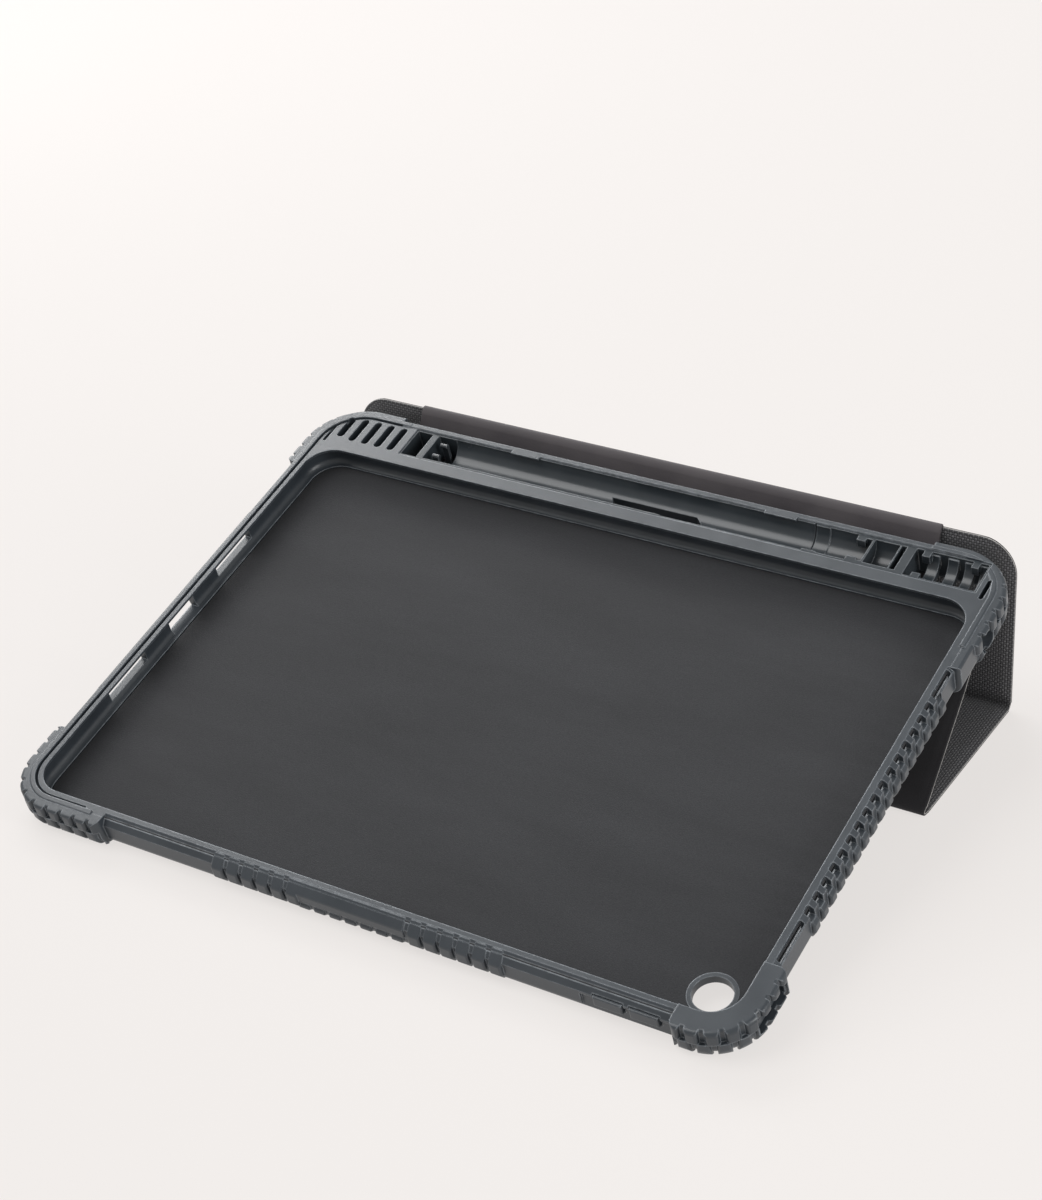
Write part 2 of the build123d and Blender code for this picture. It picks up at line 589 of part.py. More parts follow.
def report(parts):
    """Print the whole object's box and the hinge points, in the finished frame."""
    whole = Compound(children=[Compound(list(body.solids())) for body in parts.values()]).bounding_box()
    print("low", [round(v, 2) for v in whole.min], "high", [round(v, 2) for v in whole.max])
    points = {"H1": H1, "H2": H2_WORLD, "B": B_HINGE, "C": C_HINGE, "D": D_HINGE}
    for name, (y, z) in points.items():
        print(name, round(y - ORIGIN_Y, 3), round(z - TABLE, 3))
    flat = (P1_GAP + distance(step(P1_MID, P1_ANGLE, P1_GAP), B_START) + distance(B_END, C_START)
            + distance(C_END, D_START) + P4_LENGTH)
    for radius, turn in ((FOLD_B_R, P2_ANGLE - P1_ANGLE), (FOLD_C_R, P3_ANGLE - P2_ANGLE),
                         (FOLD_D_R, P4_ANGLE - P3_ANGLE)):
        flat += radius * radians(abs(turn))
    strip = distance(H1, H2_WORLD)
    rise = Z_RIM + CLOSED_GAP + T_PANEL - H1_CASE[1]
    open_angle = degrees(atan2(H2_WORLD[1] - H1[1], H2_WORLD[0] - H1[0]))
    closed_angle = TILT + degrees(asin(rise / strip))
    print("spine turn", round(closed_angle - open_angle, 3),
          "cover turn", round(360 + P4_ANGLE - P1_ANGLE - closed_angle + open_angle, 3),
          "closed far edge", round(H1_CASE[0] + strip * cos(radians(closed_angle - TILT)), 2),
          "flat length", round(flat, 2))


PARTS = build()
for part_name, part_body in PARTS.items():
    save(part_body, part_name)
report(PARTS)
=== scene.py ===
"""Looks for the tablet case: a moulded frame with a pen tray, and a folding woven cover that holds it up."""

from math import acos, cos, hypot, inf, pi, radians, sin, sqrt, tan

import bpy
import numpy as np
from mathutils import Matrix, Vector


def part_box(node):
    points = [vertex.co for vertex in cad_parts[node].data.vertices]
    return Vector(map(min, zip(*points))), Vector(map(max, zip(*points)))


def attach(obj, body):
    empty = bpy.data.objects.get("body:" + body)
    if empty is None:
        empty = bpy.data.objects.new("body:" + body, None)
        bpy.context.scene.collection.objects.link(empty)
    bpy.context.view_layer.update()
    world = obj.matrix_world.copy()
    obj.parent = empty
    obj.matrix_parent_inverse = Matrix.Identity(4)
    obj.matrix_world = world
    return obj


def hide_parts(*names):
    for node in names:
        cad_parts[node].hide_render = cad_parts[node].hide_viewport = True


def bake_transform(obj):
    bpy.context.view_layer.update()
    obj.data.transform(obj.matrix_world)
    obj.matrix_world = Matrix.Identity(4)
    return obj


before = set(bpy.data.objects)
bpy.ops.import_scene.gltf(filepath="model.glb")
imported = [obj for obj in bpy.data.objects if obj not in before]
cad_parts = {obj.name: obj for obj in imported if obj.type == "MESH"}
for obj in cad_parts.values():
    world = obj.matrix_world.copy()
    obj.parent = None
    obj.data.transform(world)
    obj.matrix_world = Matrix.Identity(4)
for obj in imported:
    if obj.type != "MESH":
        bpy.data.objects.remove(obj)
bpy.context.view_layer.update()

MM = 0.001
WEAVE = 1.7 * MM               # repeat of the cover's weave
EDGE_SOFT = 0.6 * MM           # rounding that the moulded edges show
COVER_R = 12 * MM              # corner radius of the cover's two free ends
PRESSED = 0.6 * MM             # half the cover's thickness where no board lies inside
FULL = 1.0 * MM                # half its thickness over a board
LAYERS_MEET = 0.02 * MM        # the woven face and the lining stop this far from the middle
BOARD_HALF = 0.51 * MM         # where they lie on the board
FACE_RISE = (0.7 * MM, 2.9 * MM)    # distances from an edge between which the face rises onto the board
BACK_RISE = (0.8 * MM, 2.3 * MM)    # and between which the back does
CUT_HALF = 0.38 * MM           # half the thickness at a cut edge
FOLD_DIP = 0.1 * MM            # a fold is this much thinner in its middle
FOLD_PULL = 0.3 * MM           # and each side this much narrower
SKIN_HALF = 0.5 * MM           # half the spine's thickness
SKIN_BACK = 0.21 * MM          # its skins lie on the stiffener this far from the middle
FOOT_HALF = 0.35 * MM          # half the thickness where the skins leave their glued foot
FOOT_LAP = 1.5 * MM            # the skins start this far inside the foot's far edge
CORNER = 32                    # degrees; sharper corners of the CAD nodes stay corners
PLIES = 5                      # plies seen across one repeat of the weave


# ------------------------------------------------------------ node helpers
def new_material(name):
    mat = bpy.data.materials.new(name)
    mat.use_nodes = True
    return mat, mat.node_tree.nodes["Principled BSDF"]


def plug(mat, socket, value):
    """Put a number, a colour or another node's output into a socket."""
    if isinstance(value, bpy.types.NodeSocket):
        mat.node_tree.links.new(value, socket)
    else:
        socket.default_value = value


def node(mat, kind, settings=None, **inputs):
    made = mat.node_tree.nodes.new("ShaderNode" + kind)
    for key, value in (settings or {}).items():
        setattr(made, key, value)
    for key, value in inputs.items():
        plug(mat, made.inputs[key.replace("_", " ")], value)
    return made


def maths(mat, operation, a, b=0.0):
    made = node(mat, "Math", {"operation": operation})
    plug(mat, made.inputs[0], a)
    plug(mat, made.inputs[1], b)
    return made.outputs[0]


def spread(mat, value, low, high, to_low=0.0, to_high=1.0):
    """Move a number from one range to another, held at both ends."""
    made = node(mat, "MapRange", {"clamp": True}, Value=value)
    for key, number in (("From Min", low), ("From Max", high), ("To Min", to_low), ("To Max", to_high)):
        made.inputs[key].default_value = number
    return made.outputs["Result"]


MIX_SOCKETS = {"FLOAT": (2, 3, 0), "VECTOR": (4, 5, 1), "RGBA": (6, 7, 2)}     # both inputs, the output


def mixed(mat, amount, a, b, kind="RGBA"):
    """Value between two colours, vectors or numbers."""
    first, second, result = MIX_SOCKETS[kind]
    made = node(mat, "Mix", {"data_type": kind}, Factor=amount)
    plug(mat, made.inputs[first], a)
    plug(mat, made.inputs[second], b)
    return made.outputs[result]


def grey(r, g=None, b=None):
    """Colour from 0-255 screen values."""
    values = (r, r if g is None else g, r if b is None else b)
    return tuple((v / 255) ** 2.2 for v in values) + (1.0,)


def noise(mat, place, scale, detail=3.0):
    return node(mat, "TexNoise", Vector=place, Scale=scale, Detail=detail).outputs["Fac"]


def bumped(mat, height, strength, distance, normal=None):
    made = node(mat, "Bump", Strength=strength, Distance=distance, Height=height)
    if normal is not None:
        plug(mat, made.inputs["Normal"], normal)
    return made.outputs["Normal"]


# ------------------------------------------------------------ materials
def moulded(name, dark, light, edge, rough, grain, shine=0.5):
    """Moulded plastic: softened edges that catch the light, with a painted highlight on them, fine grain and
    faint mottling.
    """
    mat, shader = new_material(name)
    place = node(mat, "TexCoord").outputs["Object"]
    mottle = noise(mat, place, 90, 5)
    fine = noise(mat, place, 3200, 2)
    rounded = node(mat, "Bevel", {"samples": 6}, Radius=EDGE_SOFT).outputs["Normal"]
    flat = node(mat, "NewGeometry").outputs["Normal"]
    facing = node(mat, "VectorMath", {"operation": "DOT_PRODUCT"})
    plug(mat, facing.inputs[0], rounded)
    plug(mat, facing.inputs[1], flat)
    edges = spread(mat, facing.outputs["Value"], 0.992, 0.92)
    # painted highlight: the softened edges lightened towards the edge colour, more at random spots
    painted_highlight = maths(mat, "MULTIPLY", edges, spread(mat, noise(mat, place, 420), 0.3, 0.65, 0.3, 0.9))
    softened = mixed(mat, edges, flat, rounded, "VECTOR")
    body = mixed(mat, spread(mat, mottle, 0.2, 0.8), dark, light)
    plug(mat, shader.inputs["Base Color"], mixed(mat, painted_highlight, body, edge))
    plug(mat, shader.inputs["Roughness"], spread(mat, mottle, 0.2, 0.8, rough - 0.02, rough + 0.03))
    plug(mat, shader.inputs["Normal"], bumped(mat, fine, grain, 0.12 * MM, softened))
    shader.inputs["Specular IOR Level"].default_value = shine
    return mat


def weave_height(mat, u, v):
    """Height of a basket weave, and which of its two thread directions lies on top."""
    across = maths(mat, "SINE", maths(mat, "MULTIPLY", u, 2 * pi / WEAVE))
    along = maths(mat, "SINE", maths(mat, "MULTIPLY", v, 2 * pi / WEAVE))
    checker = maths(mat, "MULTIPLY", across, along)
    crown = maths(mat, "POWER", maths(mat, "ABSOLUTE", checker), 0.55)
    over = spread(mat, checker, -0.08, 0.08)
    ply_u = maths(mat, "SINE", maths(mat, "MULTIPLY", u, 2 * pi * PLIES / WEAVE))
    ply_v = maths(mat, "SINE", maths(mat, "MULTIPLY", v, 2 * pi * PLIES / WEAVE))
    ply = mixed(mat, over, ply_u, ply_v, "FLOAT")
    height = maths(mat, "ADD", crown, maths(mat, "MULTIPLY", ply, 0.12))
    return height, over


def cloth_place(mat):
    """Flat position on the cover, in metres, and how far a spot is bent into a fold."""
    uv = node(mat, "UVMap", {"uv_map": "cloth"}).outputs["UV"]
    parts = node(mat, "SeparateXYZ", Vector=uv)
    crease = node(mat, "Attribute", {"attribute_name": "crease"}).outputs["Fac"]
    return uv, parts.outputs["X"], parts.outputs["Y"], crease


def woven_material():
    """Basket weave of two greys, darker where it is bent into a fold: painted shade."""
    mat, shader = new_material("woven_cover")
    uv, u, v, crease = cloth_place(mat)
    height, over = weave_height(mat, u, v)
    warp = mixed(mat, over, grey(112, 112, 114), grey(80, 80, 83))
    thread = mixed(mat, spread(mat, height, 0.1, 0.85), grey(20, 20, 22), warp)
    cloudy = spread(mat, noise(mat, uv, 70, 4), 0.35, 0.7, 0.0, 0.22)
    thread = mixed(mat, cloudy, thread, grey(52, 50, 50))
    # painted shade in the folds
    thread = mixed(mat, maths(mat, "MULTIPLY", crease, 0.55), thread, grey(34, 33, 34))
    plug(mat, shader.inputs["Base Color"], thread)
    plug(mat, shader.inputs["Roughness"], spread(mat, height, 0.0, 1.0, 0.85, 0.55))
    plug(mat, shader.inputs["Normal"], bumped(mat, height, 0.9, 0.22 * MM))
    shader.inputs["Sheen Weight"].default_value = 0.08
    return mat


def lining_material():
    """Dark napped lining, a little lighter where it is bent into a fold: a painted highlight."""
    mat, shader = new_material("cover_lining")
    uv, _, _, crease = cloth_place(mat)
    nap = noise(mat, uv, 2600, 3)
    brushed = noise(mat, uv, 60, 4)
    base = mixed(mat, spread(mat, brushed, 0.3, 0.7), grey(25, 24, 27), grey(33, 32, 35))
    # painted highlight on the folds
    base = mixed(mat, maths(mat, "MULTIPLY", crease, 0.4), base, grey(44, 43, 46))
    plug(mat, shader.inputs["Base Color"], base)
    plug(mat, shader.inputs["Roughness"], spread(mat, nap, 0.3, 0.7, 0.82, 0.95))
    plug(mat, shader.inputs["Normal"], bumped(mat, nap, 0.5, 0.12 * MM))
    shader.inputs["Sheen Weight"].default_value = 0.12
    return mat


def skin_material():
    """Smooth brown-black skin of the strip between the case and the cover; its tone is the dark lining painted
    as lit from above.
    """
    mat, shader = new_material("spine_skin")
    place = node(mat, "TexCoord").outputs["Object"]
    pores = node(mat, "TexVoronoi", Vector=place, Scale=1500).outputs["Distance"]
    mottle = noise(mat, place, 55, 5)
    # painted light: the base greys are the dark lining lifted to how it looks lit from above
    base = mixed(mat, spread(mat, mottle, 0.3, 0.7), grey(62, 58, 61), grey(76, 72, 74))
    plug(mat, shader.inputs["Base Color"], base)
    plug(mat, shader.inputs["Roughness"], spread(mat, mottle, 0.3, 0.7, 0.56, 0.7))
    plug(mat, shader.inputs["Normal"], bumped(mat, pores, 0.25, 0.08 * MM))
    return mat


def cut_edge_material():
    """Pale raw edge of the woven layer."""
    mat, shader = new_material("cut_edge")
    place = node(mat, "TexCoord").outputs["Object"]
    fibre = noise(mat, place, 900, 3)
    base = mixed(mat, spread(mat, fibre, 0.3, 0.7), grey(128, 126, 124), grey(172, 170, 167))
    plug(mat, shader.inputs["Base Color"], base)
    plug(mat, shader.inputs["Roughness"], spread(mat, fibre, 0.3, 0.7, 0.7, 0.85))
    return mat


def napped(name, dark, light):
    """Short-napped lining of the tablet bay."""
    mat, shader = new_material(name)
    place = node(mat, "TexCoord").outputs["Object"]
    nap = noise(mat, place, 2400, 3)
    stretched = node(mat, "Mapping", Vector=place, Scale=(18, 70, 18)).outputs["Vector"]
    brushed = noise(mat, stretched, 1.0, 5)
    base = mixed(mat, spread(mat, brushed, 0.25, 0.75), dark, light)
    plug(mat, shader.inputs["Base Color"], mixed(mat, spread(mat, nap, 0.35, 0.8, 0, 0.35), base, dark))
    plug(mat, shader.inputs["Roughness"], spread(mat, nap, 0.3, 0.7, 0.84, 0.96))
    plug(mat, shader.inputs["Normal"], bumped(mat, nap, 0.45, 0.14 * MM))
    shader.inputs["Sheen Weight"].default_value = 0.1
    return mat


def magnet_material():
    mat, shader = new_material("magnet")
    place = node(mat, "TexCoord").outputs["Object"]
    stretched = node(mat, "Mapping", Vector=place, Scale=(300, 4000, 300)).outputs["Vector"]
    scratch = noise(mat, stretched, 1.0, 3)
    base = mixed(mat, spread(mat, scratch, 0.3, 0.7), grey(150, 152, 156), grey(186, 188, 192))
    plug(mat, shader.inputs["Base Color"], base)
    plug(mat, shader.inputs["Roughness"], spread(mat, scratch, 0.3, 0.7, 0.22, 0.4))
    shader.inputs["Metallic"].default_value = 1.0
    return mat


def paper_material():
    mat, shader = new_material("paper")
    place = node(mat, "TexCoord").outputs["Object"]
    fibre = noise(mat, place, 1200, 4)
    base = mixed(mat, spread(mat, fibre, 0.3, 0.7), grey(226, 223, 214), grey(240, 238, 232))
    plug(mat, shader.inputs["Base Color"], base)
    plug(mat, shader.inputs["Roughness"], spread(mat, fibre, 0.3, 0.7, 0.8, 0.9))
    return mat


def window_material():
    mat, shader = new_material("clear_window")
    place = node(mat, "TexCoord").outputs["Object"]
    smear = noise(mat, place, 130, 4)
    plug(mat, shader.inputs["Roughness"], spread(mat, smear, 0.35, 0.75, 0.04, 0.16))
    shader.inputs["Base Color"].default_value = (0.95, 0.96, 0.97, 1)
    shader.inputs["Transmission Weight"].default_value = 1.0
    shader.inputs["IOR"].default_value = 1.46
    return mat


def board_material():
    mat, shader = new_material("board")
    place = node(mat, "TexCoord").outputs["Object"]
    fibre = noise(mat, place, 700, 5)
    base = mixed(mat, spread(mat, fibre, 0.3, 0.7), grey(70, 68, 64), grey(104, 100, 94))
    plug(mat, shader.inputs["Base Color"], base)
    plug(mat, shader.inputs["Roughness"], spread(mat, fibre, 0.3, 0.7, 0.75, 0.9))
    plug(mat, shader.inputs["Normal"], bumped(mat, fibre, 0.3, 0.1 * MM))
    return mat


WOVEN, LINING, SKIN, CUT_EDGE = woven_material(), lining_material(), skin_material(), cut_edge_material()
# the third colour of each moulded finish is the painted highlight on its softened edges
SOFT_FRAME = moulded("soft_frame", grey(50, 55, 60), grey(61, 66, 71), grey(134, 140, 146), 0.35, 0.25)
TRAY = moulded("pen_tray", grey(48, 53, 57), grey(58, 63, 67), grey(124, 129, 134), 0.25, 0.06)
CLIP = moulded("clip", grey(48, 52, 56), grey(60, 64, 68), grey(122, 126, 131), 0.2, 0.04)
PLATE = moulded("back_plate", grey(52, 55, 58), grey(60, 63, 66), grey(84, 87, 90), 0.46, 0.35)
BAY = napped("bay_lining", grey(32, 33, 36), grey(42, 43, 46))
MAGNET, PAPER, WINDOW, BOARD = magnet_material(), paper_material(), window_material(), board_material()

FINISHES = {
    "bumper_frame": SOFT_FRAME, "camera_ring": SOFT_FRAME, "power_button": SOFT_FRAME,
    "volume_down_button": SOFT_FRAME, "volume_up_button": SOFT_FRAME,
    "pen_tray": TRAY, "pen_clip": CLIP, "back_plate": PLATE, "inner_lining": BAY,
    "dock_magnets": MAGNET, "flap_magnets": MAGNET, "sleep_magnets": MAGNET,
    "name_card": PAPER, "name_window": WINDOW, "spine_anchor": SKIN, "spine_stiffener": BOARD,
    "panel_1_board": BOARD, "panel_2_board": BOARD, "panel_3_board": BOARD, "flap_board": BOARD,
}


def smooth_shading(obj):
    """Shade round CAD faces round, and keep sharp corners as corners."""
    weld = obj.modifiers.new("weld", "WELD")
    weld.merge_threshold = 0.002 * MM
    split = obj.modifiers.new("split", "EDGE_SPLIT")
    split.split_angle = radians(CORNER)
    obj.modifiers.new("normals", "WEIGHTED_NORMAL")


for node_name in ("bumper_frame", "pen_tray", "pen_clip", "camera_ring", "back_plate"):
    smooth_shading(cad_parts[node_name])
for node_name, finish in FINISHES.items():
    for material_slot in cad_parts[node_name].material_slots:
        material_slot.material = finish


# ------------------------------------------------------------ the cover's side view
def flat_frame(outer_node, inner_node):
    """Side view of a flat layered piece: its ends' middles, its direction and its outer side's normal."""
    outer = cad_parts[outer_node].data
    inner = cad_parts[inner_node].data
    big = max(inner.polygons, key=lambda face: face.area)
    normal = np.array((big.normal.y, big.normal.z))
    normal /= np.linalg.norm(normal)
    outer_points = np.array([(v.co.y, v.co.z) for v in outer.vertices])
    inner_points = np.array([(v.co.y, v.co.z) for v in inner.vertices])
    if (outer_points.mean(axis=0) - inner_points.mean(axis=0)) @ normal < 0:
        normal = -normal
    along = np.array((-normal[1], normal[0]))
    heights = np.concatenate((outer_points, inner_points)) @ normal
    reach = inner_points @ along
    middle = normal * (heights.min() + heights.max()) / 2
    return {"start": middle + along * reach.min(), "end": middle + along * reach.max(),
            "along": along, "normal": normal, "length": reach.max() - reach.min()}


def across(node_name):
    """Half the width of a node, and its middle, along x."""
    low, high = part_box(node_name)
    return (high[0] - low[0]) / 2, (high[0] + low[0]) / 2


ORDER = ("panel_1", "panel_2", "panel_3", "flap")
PANELS = {name: flat_frame(f"{name}_fabric", f"{name}_lining") for name in ORDER}
SPINE = flat_frame("spine_outer_skin", "spine_inner_skin")
COVER_HALF, COVER_X = across("panel_1_lining")
SPINE_HALF, SPINE_X = across("spine_inner_skin")


def path_normals(points):
    """Normals of a side-view path on its woven side."""
    slopes = np.gradient(np.array(points), axis=0)
    slopes /= np.linalg.norm(slopes, axis=1)[:, None]
    return [np.array((slope[1], -slope[0])) for slope in slopes]


def unfolding_path(first, last, share, steps=20):
    """Middle line of a fold between two flat pieces: points and outer normals.
    """
    a, b = first["end"], last["start"]
    half = acos(max(-1.0, min(1.0, float(first["along"] @ last["along"])))) / 2
    chord = np.linalg.norm(b - a)
    radius = chord / (2 * sin(half))
    outward = first["along"] - last["along"]
    outward /= np.linalg.norm(outward)
    hinge_in = radius * (1 - half / tan(half))
    hinge_out = hypot(radius * half, radius - hinge_in) - radius * cos(half)
    points = []
    for k in range(steps + 1):
        t = (1 - cos(pi * k / steps)) / 2
        off = abs(t - 0.5)
        arc = sqrt(max(0.0, radius ** 2 - (off * chord) ** 2)) - radius * cos(half)
        swing = 2 * half * abs(t * t * (3 - 2 * t) - 0.5)
        flat = hinge_out + (hinge_in - off * chord * sin(swing)) / cos(swing)
        points.append(a + (b - a) * t + outward * (arc + share * (flat - arc)))
    normals = path_normals(points)
    normals[0], normals[-1] = first["normal"], last["normal"]
    return points, normals


def arc_between(first, last, steps=14):
    """Smooth middle line between two flat pieces whose ends aren't level: points and outer normals."""
    a, b = first["end"], last["start"]
    turn = acos(max(-1.0, min(1.0, float(first["along"] @ last["along"]))))
    reach = np.linalg.norm(b - a) / (2 * sin(turn / 2)) * 4 / 3 * tan(turn / 4)
    c, d = a + first["along"] * reach, b - last["along"] * reach
    points, normals = [], []
    for k in range(steps + 1):
        t = k / steps
        points.append(a * (1 - t) ** 3 + 3 * c * t * (1 - t) ** 2 + 3 * d * t * t * (1 - t) + b * t ** 3)
        slope = (c - a) * (1 - t) ** 2 + 2 * (d - c) * t * (1 - t) + (b - d) * t * t
        slope /= np.linalg.norm(slope)
        normals.append(np.array((slope[1], -slope[0])))
    return points, normals


def smooth_step(value, low, high):
    """0 up to low, 1 from high on, and smooth between them."""
    t = min(1.0, max(0.0, (value - low) / (high - low)))
    return t * t * (3 - 2 * t)


NEAR_EDGE = (0.25, 0.9, 1.7, 2.6, 3.6)      # mm; where the points stand that shape an edge
LAST_ROW, LAST_COLUMN = 6.0, 8.0            # mm; from here inwards they are evenly spread
MIDDLE_COLUMNS = 15


def row_stations(length, rounds):
    """Distances along a panel of its rows of points, close together at both ends."""
    near = (0, *NEAR_EDGE, LAST_ROW)
    found = set()
    for radius, start, sign in ((rounds[0], 0, 1), (rounds[1], length, -1)):
        steps = [s * MM for s in near] + [radius * (1 - cos(radians(a))) for a in range(12, 91, 6) if radius]
        found.update(round(start + sign * s, 6) for s in steps)
    first, middle = LAST_ROW * MM, length - 2 * LAST_ROW * MM
    count = int(length / (2 * LAST_ROW * MM))
    found.update(round(first + middle * k / count, 6) for k in range(1, count))
    return sorted(found)


def half_width(s, length, rounds):
    """Half the panel's width at a distance along it, narrower round its free corners."""
    lost = 0.0
    for radius, gap in ((rounds[0], s), (rounds[1], length - s)):
        if radius and gap < radius:
            lost = radius - sqrt(max(0.0, radius ** 2 - (radius - gap) ** 2))
    return COVER_HALF - lost


def to_edges(x, s, length, rounds):
    """Distance from the cut outline, and from the nearer fold."""
    cut = COVER_HALF - abs(x)
    fold = inf
    for radius, gap in ((rounds[0], s), (rounds[1], length - s)):
        if not radius:
            fold = min(fold, gap)
        elif gap < radius and abs(x) > COVER_HALF - radius:
            cut = min(cut, radius - hypot(radius - gap, abs(x) - COVER_HALF + radius))
        else:
            cut = min(cut, gap)
    return max(0.0, cut), fold


def column_offsets(half):
    """Positions across the cover, close together at its two cut edges."""
    edge = [e * MM for e in (*NEAR_EDGE, LAST_COLUMN)]
    inner = np.linspace(-half + edge[-1], half - edge[-1], MIDDLE_COLUMNS)[1:-1]
    return [-half + e for e in edge] + list(inner) + [half - e for e in reversed(edge)]


def layer_mesh(name, rows, middle_x, materials):
    """Closed mesh of one layer, skinned over its rows. The second material is for the rim and free ends."""
    verts, uvs, faces, kinds = [], [], [], []
    for row in rows:
        for x, (y, z), v in row["loop"]:
            verts.append((middle_x + x, y, z))
            uvs.append((middle_x + x, v))
    count = len(rows[0]["loop"])
    rim = rows[0]["rim"]
    for i in range(len(rows) - 1):
        for j in range(count):
            k = (j + 1) % count
            faces.append((i * count + j, i * count + k, (i + 1) * count + k, (i + 1) * count + j))
            kinds.append(1 if j in rim else 0)
    faces.append(tuple(range(count))[::-1])
    faces.append(tuple(range((len(rows) - 1) * count, len(rows) * count)))
    kinds += [1 if rows[0]["free"] else 0, 1 if rows[-1]["free"] else 0]
    mesh = bpy.data.meshes.new(name)
    mesh.from_pydata(verts, [], faces)
    for material in materials:
        mesh.materials.append(material)
    mesh.polygons.foreach_set("material_index", kinds)
    layer = mesh.uv_layers.new(name="cloth")
    corners = np.array([uvs[loop.vertex_index] for loop in mesh.loops], np.float32)
    layer.data.foreach_set("uv", corners.ravel())
    crease = mesh.attributes.new("crease", "FLOAT", "POINT")
    crease.data.foreach_set("value", np.repeat([row["crease"] for row in rows], count).astype(np.float32))
    flipped = sum(p.area * p.normal.dot(p.center - Vector(verts[0])) for p in mesh.polygons) < 0
    if flipped:
        mesh.flip_normals()
    mesh.shade_smooth()
    mesh.set_sharp_from_angle(angle=radians(50))
    mesh.update()
    obj = bpy.data.objects.new(name, mesh)
    bpy.context.scene.collection.objects.link(obj)
    return obj


def layer_row(point, normal, side, v, xs, profile, crease=0.0, free=False):
    """One row: along the face from edge to edge, over the rim, and back along the inside.

    side is 1 for the woven side and -1 for the lining. profile gives the heights of the face and the back
    above the middle line at x, and v is the flat distance along the cover.
    """
    def at(offset):
        return tuple(point + normal * side * offset)

    left, right = xs[0] - NEAR_EDGE[0] * MM, xs[-1] + NEAR_EDGE[0] * MM
    heights = [profile(x) for x in xs]
    bevel = min(heights[0][0], CUT_HALF)
    loop = [(x, at(face), v) for x, (face, _) in zip(xs, heights)]
    loop.append((right, at(bevel), v))
    loop.append((right, at(heights[-1][1]), v))
    loop += [(x, at(back), v) for x, (_, back) in reversed(list(zip(xs, heights)))]
    loop.append((left, at(heights[0][1]), v))
    loop.append((left, at(bevel), v))
    return {"loop": loop, "rim": {len(xs), len(loop) - 2}, "crease": crease, "free": free}


SAME_PLACE = 0.001 * MM        # closer than this is the same distance
END_CREASE = 0.6               # how creased the cloth is where a fold starts; 1 is its middle
CREASE_REACH = 3 * MM          # how far the crease runs into a panel


def panel_layer(name, panel, side, v0, rounds, materials):
    """Woven face or lining of one panel: thin at the cut edges and folds, thicker over the board."""
    length = panel["length"]
    rows = []
    for s in row_stations(length, rounds):
        free = bool(rounds[0] and s == 0 or rounds[1] and abs(s - length) < SAME_PLACE)

        def profile(x, s=s, free=free):
            near = min(to_edges(x, s, length, rounds))
            face = CUT_HALF if free else PRESSED + (FULL - PRESSED) * smooth_step(near, *FACE_RISE)
            return face, LAYERS_MEET + (BOARD_HALF - LAYERS_MEET) * smooth_step(near, *BACK_RISE)

        to_fold = to_edges(0, s, length, rounds)[1]
        crease = END_CREASE * (1 - smooth_step(to_fold, 0, CREASE_REACH))
        rows.append(layer_row(panel["start"] + panel["along"] * s, panel["normal"], side, v0 + s,
                              column_offsets(half_width(s, length, rounds)), profile, crease, free))
    return layer_mesh(name, rows, COVER_X, materials)


def fold_layer(name, path, side, v0, half, middle_x, thickness, materials, pull=0.0):
    """Layer that crosses a fold, and the flat distance at its end. thickness is half of it at both ends."""
    points, normals = path
    rows, v = [], v0
    for k, (point, normal) in enumerate(zip(points, normals)):
        if k:
            v += np.linalg.norm(point - points[k - 1])
        t = k / (len(points) - 1)
        bend = sin(pi * t)
        face = thickness[0] + (thickness[1] - thickness[0]) * smooth_step(t, 0, 1) - FOLD_DIP * bend
        xs = column_offsets(half - pull * bend)
        rows.append(layer_row(point, normal, side, v, xs, lambda x, face=face: (face, LAYERS_MEET),
                              END_CREASE + (1 - END_CREASE) * bend))
    return layer_mesh(name, rows, middle_x, materials), v


def fold_ends(first, last):
    return (0, *map(float, first["end"])), (0, *map(float, last["start"]))


# ------------------------------------------------------------ the cover's pieces
ROUNDS = {"panel_1": (COVER_R, 0), "panel_2": (0, 0), "panel_3": (0, 0), "flap": (0, COVER_R)}
UNFOLDING = {"panel_1": 0.3, "panel_2": 0.8, "panel_3": 1.0}       # unfolding_path's share after each panel
SPINE_ROWS = (0, 0.3, 1, 2, 4, 6, 8, 8.8, 9.5)                     # mm along the spine; the last is its end
# label, side, ending of the replaced CAD nodes, materials of the face and of the rim
SIDES = (("woven", 1, "fabric", [WOVEN, CUT_EDGE]), ("lining", -1, "lining", [LINING, LINING]))


def cover_panels():
    """Both layers of the four panels, each with the layers of the fold after it."""
    pieces = {}
    for label, side, cad, materials in SIDES:
        v = 0.0
        for index, name in enumerate(ORDER):
            panel = PANELS[name]
            piece = panel_layer(f"{name}_{label}_sheet", panel, side, v, ROUNDS[name], materials)
            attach(piece, name)
            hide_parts(f"{name}_{cad}")
            v += panel["length"]
            with_pieces = []
            if name != "flap":
                after = ORDER[index + 1]
                path = unfolding_path(panel, PANELS[after], UNFOLDING[name])
                fold, v = fold_layer(f"fold_{name}_{after}_{label}", path, side, v,
                                     COVER_HALF, COVER_X, (PRESSED, PRESSED), materials, FOLD_PULL)
                start, end = fold_ends(panel, PANELS[after])
                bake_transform(fold)
                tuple(start)
                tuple(end)
                with_pieces.append(fold)
            pieces[name, label] = (piece, with_pieces)
    return pieces


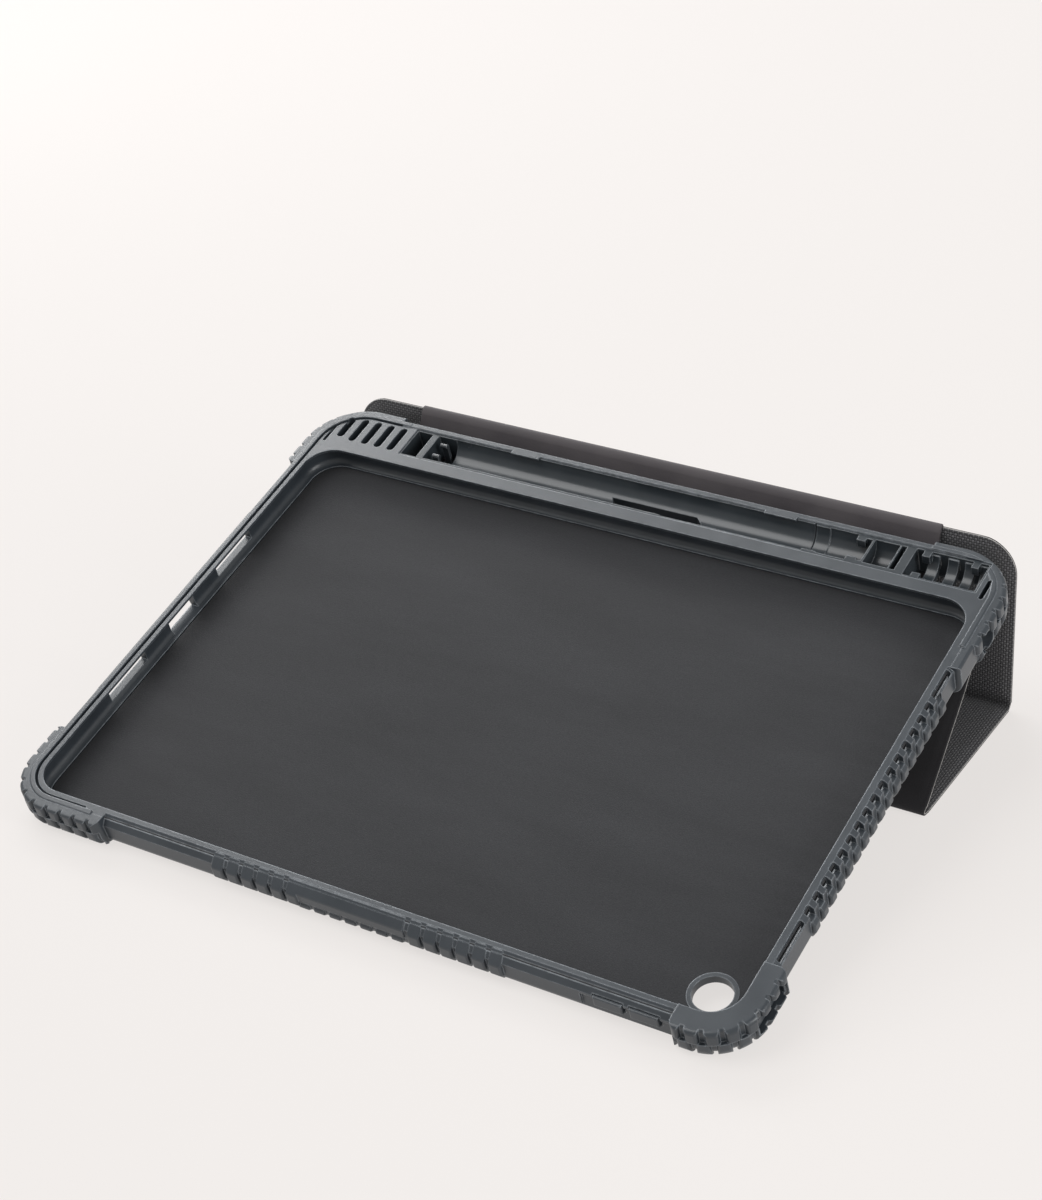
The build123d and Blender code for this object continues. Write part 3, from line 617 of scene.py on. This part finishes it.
def spine_pieces():
    """Skins of the strip between the case and the cover, with the folds at both its ends."""
    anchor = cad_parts["spine_anchor"].data
    face = max(anchor.polygons, key=lambda p: p.area * (p.normal.z < 0))
    normal = np.array((face.normal.y, face.normal.z))
    normal /= np.linalg.norm(normal)
    along = np.array((-normal[1], normal[0]))
    points = np.array([(v.co.y, v.co.z) for v in anchor.vertices])
    depth = points @ normal
    reach = (points @ along).max() - FOOT_LAP
    foot = {"end": normal * (depth.min() + depth.max()) / 2 + along * reach, "along": along}
    stations = [s * MM for s in SPINE_ROWS] + [SPINE["length"]]
    xs = column_offsets(SPINE_HALF)
    pieces = []
    for label, side, cad in (("outer", 1, "spine_outer_skin"), ("inner", -1, "spine_inner_skin")):
        rows = [layer_row(SPINE["start"] + SPINE["along"] * s, SPINE["normal"], side, s, xs,
                          lambda x: (SKIN_HALF, SKIN_BACK)) for s in stations]
        skin = layer_mesh(f"spine_{label}_skin_sheet", rows, SPINE_X, [SKIN, SKIN])
        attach(skin, "spine")
        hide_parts(cad)
        pieces.append(skin)
        low_fold, _ = fold_layer(f"fold_case_spine_{label}", arc_between(foot, SPINE), side, 0,
                                 SPINE_HALF, SPINE_X, (FOOT_HALF, SKIN_HALF), [SKIN, SKIN])
        start, end = fold_ends(foot, SPINE)
        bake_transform(low_fold)
        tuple(start)
        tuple(end)
        top_fold, _ = fold_layer(f"fold_spine_panel_1_{label}", arc_between(SPINE, PANELS["panel_1"]), side, 0,
                                 SPINE_HALF, SPINE_X, (SKIN_HALF, PRESSED), [SKIN, SKIN])
        start, end = fold_ends(SPINE, PANELS["panel_1"])
        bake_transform(top_fold)
        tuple(start)
        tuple(end)
        for piece in (low_fold, top_fold):
            pieces.append(piece)
    return pieces


COVER_PIECES = cover_panels()
SPINE_PIECES = spine_pieces()


# ------------------------------------------------------------ camera, floor and light
WRITING_ANGLE = 15                               # degrees; how far the case is tilted
GLASS_MIDDLE = Vector((0, -0.011505, 0.03264))   # middle of the tablet's glass
# the camera, in the tilted case's own axes round the glass's middle
CAMERA_PLACE = Vector((0.37383, -0.42500, 0.55321))
CAMERA_RIGHT = Vector((0.8510, 0.4916, -0.1845))
CAMERA_UP = Vector((-0.2269, 0.6612, 0.7151))
LENS = 76.69                                     # mm, on a 36 mm sensor
FLOOR_HALF = 6.0


def make_camera():
    """Camera at the photograph's place."""
    turn = Matrix.Rotation(radians(WRITING_ANGLE), 3, "X")
    place = turn @ CAMERA_PLACE + GLASS_MIDDLE
    right = (turn @ CAMERA_RIGHT).normalized()
    up = turn @ CAMERA_UP
    up = (up - right * up.dot(right)).normalized()
    back = right.cross(up)
    data = bpy.data.cameras.new("camera")
    data.lens = LENS
    data.sensor_width = 36
    data.clip_start, data.clip_end = 0.01, 20
    cam = bpy.data.objects.new("camera", data)
    cam.matrix_world = Matrix((
        (right.x, up.x, back.x, place.x),
        (right.y, up.y, back.y, place.y),
        (right.z, up.z, back.z, place.z),
        (0, 0, 0, 1)))
    bpy.context.scene.collection.objects.link(cam)
    bpy.context.scene.camera = cam


def aimed_light(name, kind, place, aim, power):
    data = bpy.data.lights.new(name, kind)
    data.energy = power
    light = bpy.data.objects.new(name, data)
    light.location = place
    light.rotation_mode = "QUATERNION"
    light.rotation_quaternion = (Vector(aim) - Vector(place)).to_track_quat("-Z", "Y")
    bpy.context.scene.collection.objects.link(light)
    return data


def make_studio():
    """Soft daylight, three strip lights, and a pale floor that gives off most of its brightness itself."""
    world = bpy.data.worlds.new("studio")
    bpy.context.scene.world = world
    world.use_nodes = True
    back = world.node_tree.nodes["Background"]
    back.inputs["Color"].default_value = (1.0, 0.985, 0.97, 1)
    back.inputs["Strength"].default_value = 0.5
    sun = aimed_light("key", "SUN", (-0.7, -0.35, 1.2), (0, 0, 0), 1.5)
    sun.angle = radians(40)
    for name, place, size, power in (("strip_left", (-0.9, 0.4, 0.55), (0.35, 0.8), 5.0),
                                     ("strip_back", (-0.8, 0.95, 0.85), (0.8, 0.4), 9.0),
                                     ("side", (1.0, -0.1, 0.45), (0.25, 0.6), 5.0)):
        light = aimed_light(name, "AREA", place, (0, 0, 0), power)
        light.shape = "RECTANGLE"
        light.size, light.size_y = size
    mesh = bpy.data.meshes.new("floor")
    corners = [(x * FLOOR_HALF, y * FLOOR_HALF, 0) for x, y in ((-1, -1), (1, -1), (1, 1), (-1, 1))]
    mesh.from_pydata(corners, [], [(0, 1, 2, 3)])
    floor = bpy.data.objects.new("floor", mesh)
    bpy.context.scene.collection.objects.link(floor)
    mat, shader = new_material("floor")
    shader.inputs["Base Color"].default_value = (0.14, 0.135, 0.132, 1)
    shader.inputs["Roughness"].default_value = 1.0
    shader.inputs["Specular IOR Level"].default_value = 0.0
    shader.inputs["Emission Color"].default_value = (0.90, 0.866, 0.844, 1)
    shader.inputs["Emission Strength"].default_value = 0.775
    mesh.materials.append(mat)


make_camera()
make_studio()
bpy.context.scene.view_settings.view_transform = "Standard"
